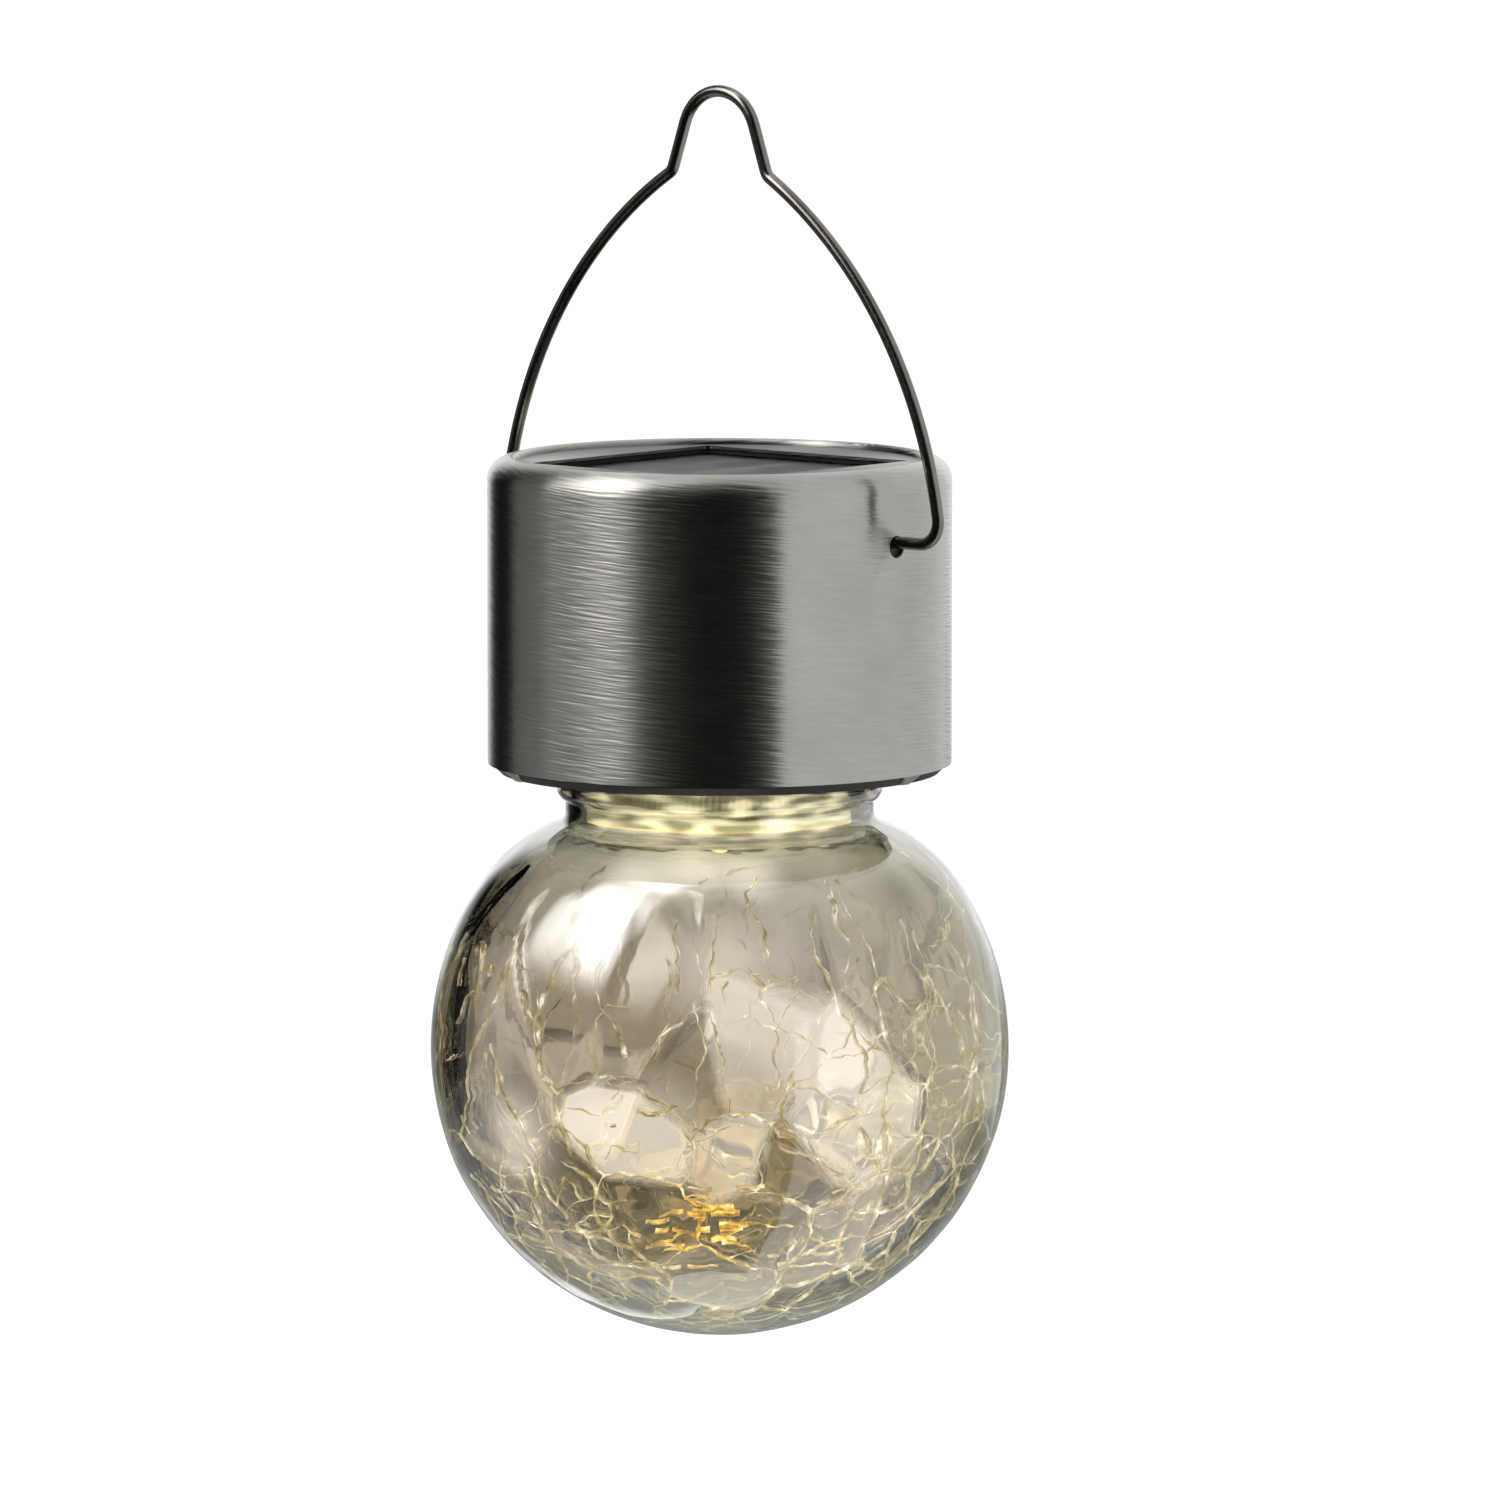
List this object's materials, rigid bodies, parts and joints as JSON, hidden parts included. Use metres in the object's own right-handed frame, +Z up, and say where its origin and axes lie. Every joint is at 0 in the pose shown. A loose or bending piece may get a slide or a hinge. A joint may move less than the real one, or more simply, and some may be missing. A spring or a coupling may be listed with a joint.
{
  "type": "hanging solar lantern",
  "caption": "Hanging solar lantern: brushed steel cap with a recessed panel, wire bail with a hook loop, and a round crackle glass globe that pulls off below.",
  "frame": {"origin": "where a hook bears, on the inside of the wire at the crown of the bail's hanging loop", "axes": "+Z up along the lantern's axis, X along the bail's pegs"},
  "size_m": [0.1, 0.1, 0.2152],
  "materials": {
    "steel_wire": "drawn steel wire, semi bright",
    "brushed_cap": "vertical-band brushed stainless steel",
    "foam_black": "closed-cell foam",
    "panel_cover": "clear cover",
    "silicon": "dark silicon strips",
    "board_black": "laminate",
    "moulding_black": "moulded ABS",
    "cell_jacket": "plain shrink sleeve",
    "plated_contact": "nickel plated",
    "screw_steel": "zinc plated",
    "silicone_clear": "translucent silicone",
    "moulding_white": "pale ABS",
    "board_green": "solder mask",
    "led_lens": "clear epoxy, warm light",
    "chip_black": "moulded package",
    "ferrite": "ferrite bobbin",
    "switch_metal": "moulded switch housing",
    "switch_plastic": "moulded thumb slider",
    "lead_red": "insulated lead",
    "lead_black": "insulated lead",
    "crackle_glass": "clear crackle glass"
  },
  "bodies": {
    "handle": {"bail_handle": "steel_wire"},
    "lantern": {"cap_shell": "brushed_cap", "panel_gasket": "foam_black", "panel_glass": "panel_cover", "solar_cells": "silicon", "panel_board": "board_black", "inner_holder": "moulding_black", "battery": "cell_jacket", "battery_contact": "plated_contact", "battery_spring": "plated_contact", "base_plate": "moulding_black", "base_screws": "screw_steel", "neck_seal": "silicone_clear", "lamp_cup": "moulding_white", "plug_ring": "silicone_clear", "circuit_board": "board_green", "board_screws": "screw_steel", "led": "led_lens", "driver_chip": "chip_black", "inductor": "ferrite", "switch_body": "switch_metal", "panel_leads": "lead_red", "battery_leads": "lead_red", "switch_leads": "lead_black"},
    "globe": {"glass_globe": "crackle_glass"},
    "switch": {"switch_slider": "switch_plastic"}
  },
  "joints": [
    {"name": "bail_swing", "type": "hinge", "parent": "handle", "child": "lantern", "pos_m": [0, 0, -0.07375], "axis": [1, 0, 0], "range_deg": [-136, 136]},
    {"name": "globe_pull", "type": "slide", "parent": "lantern", "child": "globe", "axis": [0, 0, -1], "range_m": [0, 0.03]},
    {"name": "switch_slide", "type": "slide", "parent": "lantern", "child": "switch", "axis": [-0.3907, -0.9205, 0], "range_m": [0, 0.0024]}
  ]
}
